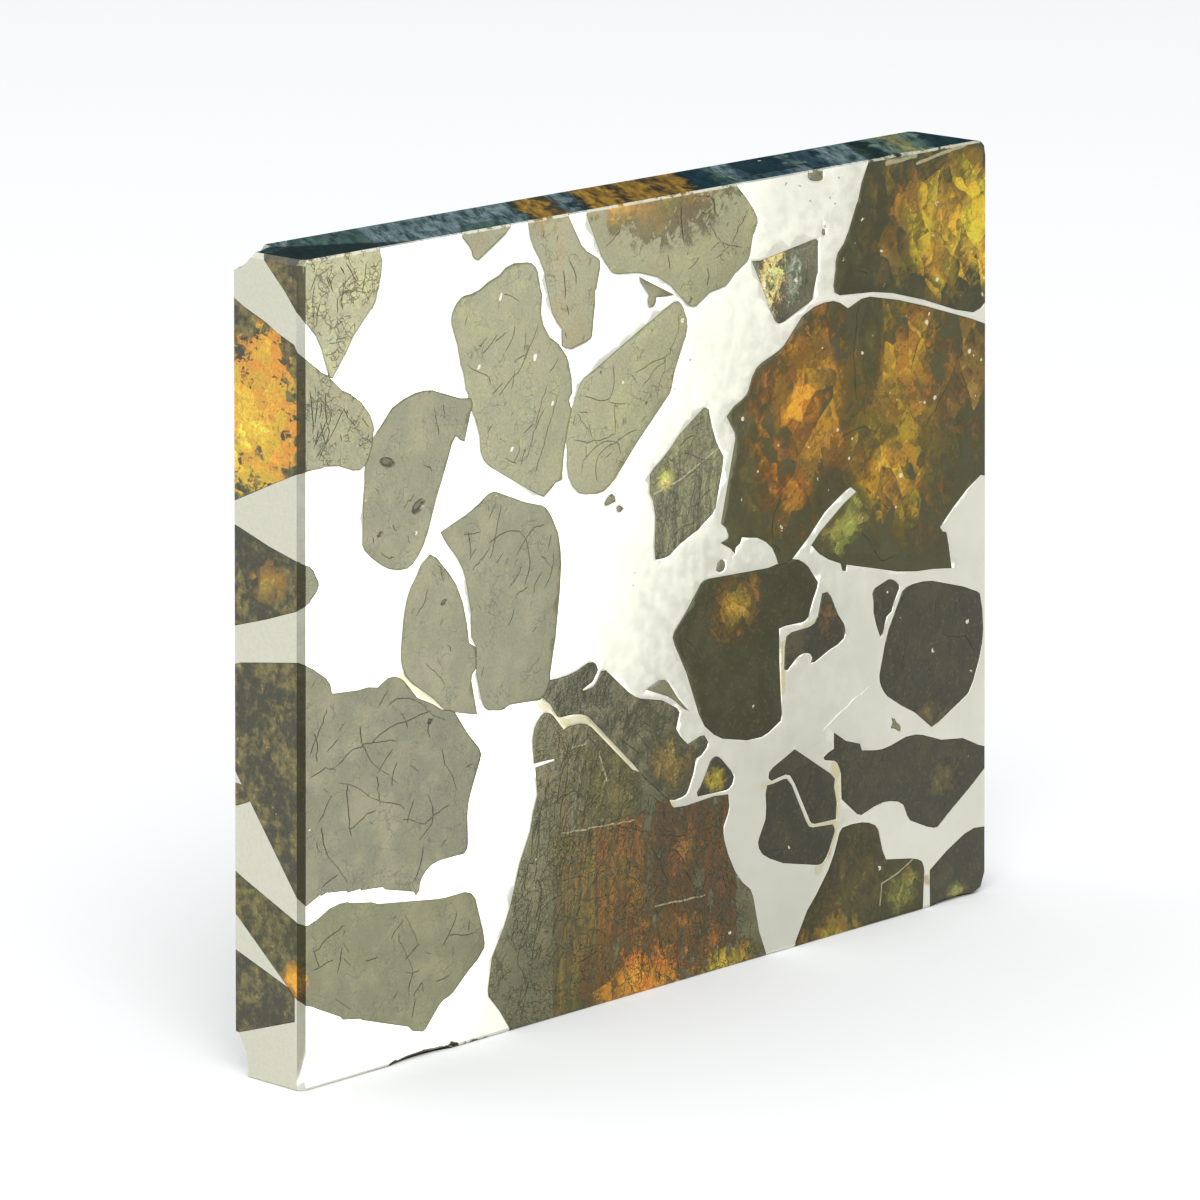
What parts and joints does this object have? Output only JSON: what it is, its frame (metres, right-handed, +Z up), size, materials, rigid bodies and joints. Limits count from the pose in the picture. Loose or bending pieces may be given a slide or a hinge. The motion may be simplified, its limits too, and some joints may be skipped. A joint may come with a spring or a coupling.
{
  "type": "pallasite meteorite slice",
  "caption": "Rectangular polished slice of a stony-iron meteorite: clear to smoky olivine crystals set in bright nickel-iron, standing on its sawn long edge.",
  "frame": {"origin": "middle of the long edge that the slice stands on", "axes": "+X along the width, from the left of the front face to its right; +Y through the thickness towards the back; +Z up"},
  "size_m": [0.05, 0.0046, 0.04],
  "materials": {
    "nickel_iron": "polished front and back, satin sawn edges",
    "olivine_pale": "polished, veiled by fine cracks",
    "olivine_dark": "polished, clear and deep",
    "olivine_amber": "polished, clear amber to yellow-green",
    "olivine_brown": "polished, smoky brown"
  },
  "bodies": {
    "root": {"metal": "nickel_iron", "olivine_top_left_corner": "olivine_pale", "olivine_left_upper": "olivine_amber", "olivine_top_edge_small": "olivine_pale", "olivine_top_second": "olivine_pale", "olivine_top_centre": "olivine_amber", "olivine_top_centre_splinter": "olivine_pale", "olivine_upper_left_large": "olivine_pale", "olivine_left_second": "olivine_pale", "olivine_upper_leaf": "olivine_pale", "olivine_upper_right_triangle": "olivine_amber", "olivine_top_right_corner": "olivine_amber", "olivine_right_large": "olivine_amber", "olivine_centre_bead": "olivine_dark", "olivine_centre_dark": "olivine_dark", "olivine_left_leaf": "olivine_pale", "olivine_left_centre": "olivine_pale", "olivine_left_edge_small": "olivine_brown", "olivine_left_large": "olivine_pale", "olivine_left_lower": "olivine_amber", "olivine_left_foot_behind": "olivine_brown", "olivine_left_sliver_behind": "olivine_amber", "olivine_top_edge_behind": "olivine_dark", "olivine_cluster_upper": "olivine_pale", "olivine_lower_centre": "olivine_brown", "olivine_teardrop": "olivine_amber", "olivine_centre_wedge": "olivine_dark", "olivine_centre_right": "olivine_dark", "olivine_centre_right_shard": "olivine_brown", "olivine_right_small": "olivine_dark", "olivine_right_lower": "olivine_dark", "olivine_right_bowtie": "olivine_dark", "olivine_lower_right_upper": "olivine_dark", "olivine_lower_right_lower": "olivine_dark", "olivine_bottom_right": "olivine_brown", "olivine_bottom_right_corner": "olivine_dark", "olivine_right_flake": "olivine_brown", "olivine_centre_fleck_upper": "olivine_pale", "olivine_centre_fleck_lower": "olivine_pale", "olivine_top_edge_fleck": "olivine_pale", "olivine_upper_right_dot": "olivine_dark"}
  },
  "joints": []
}
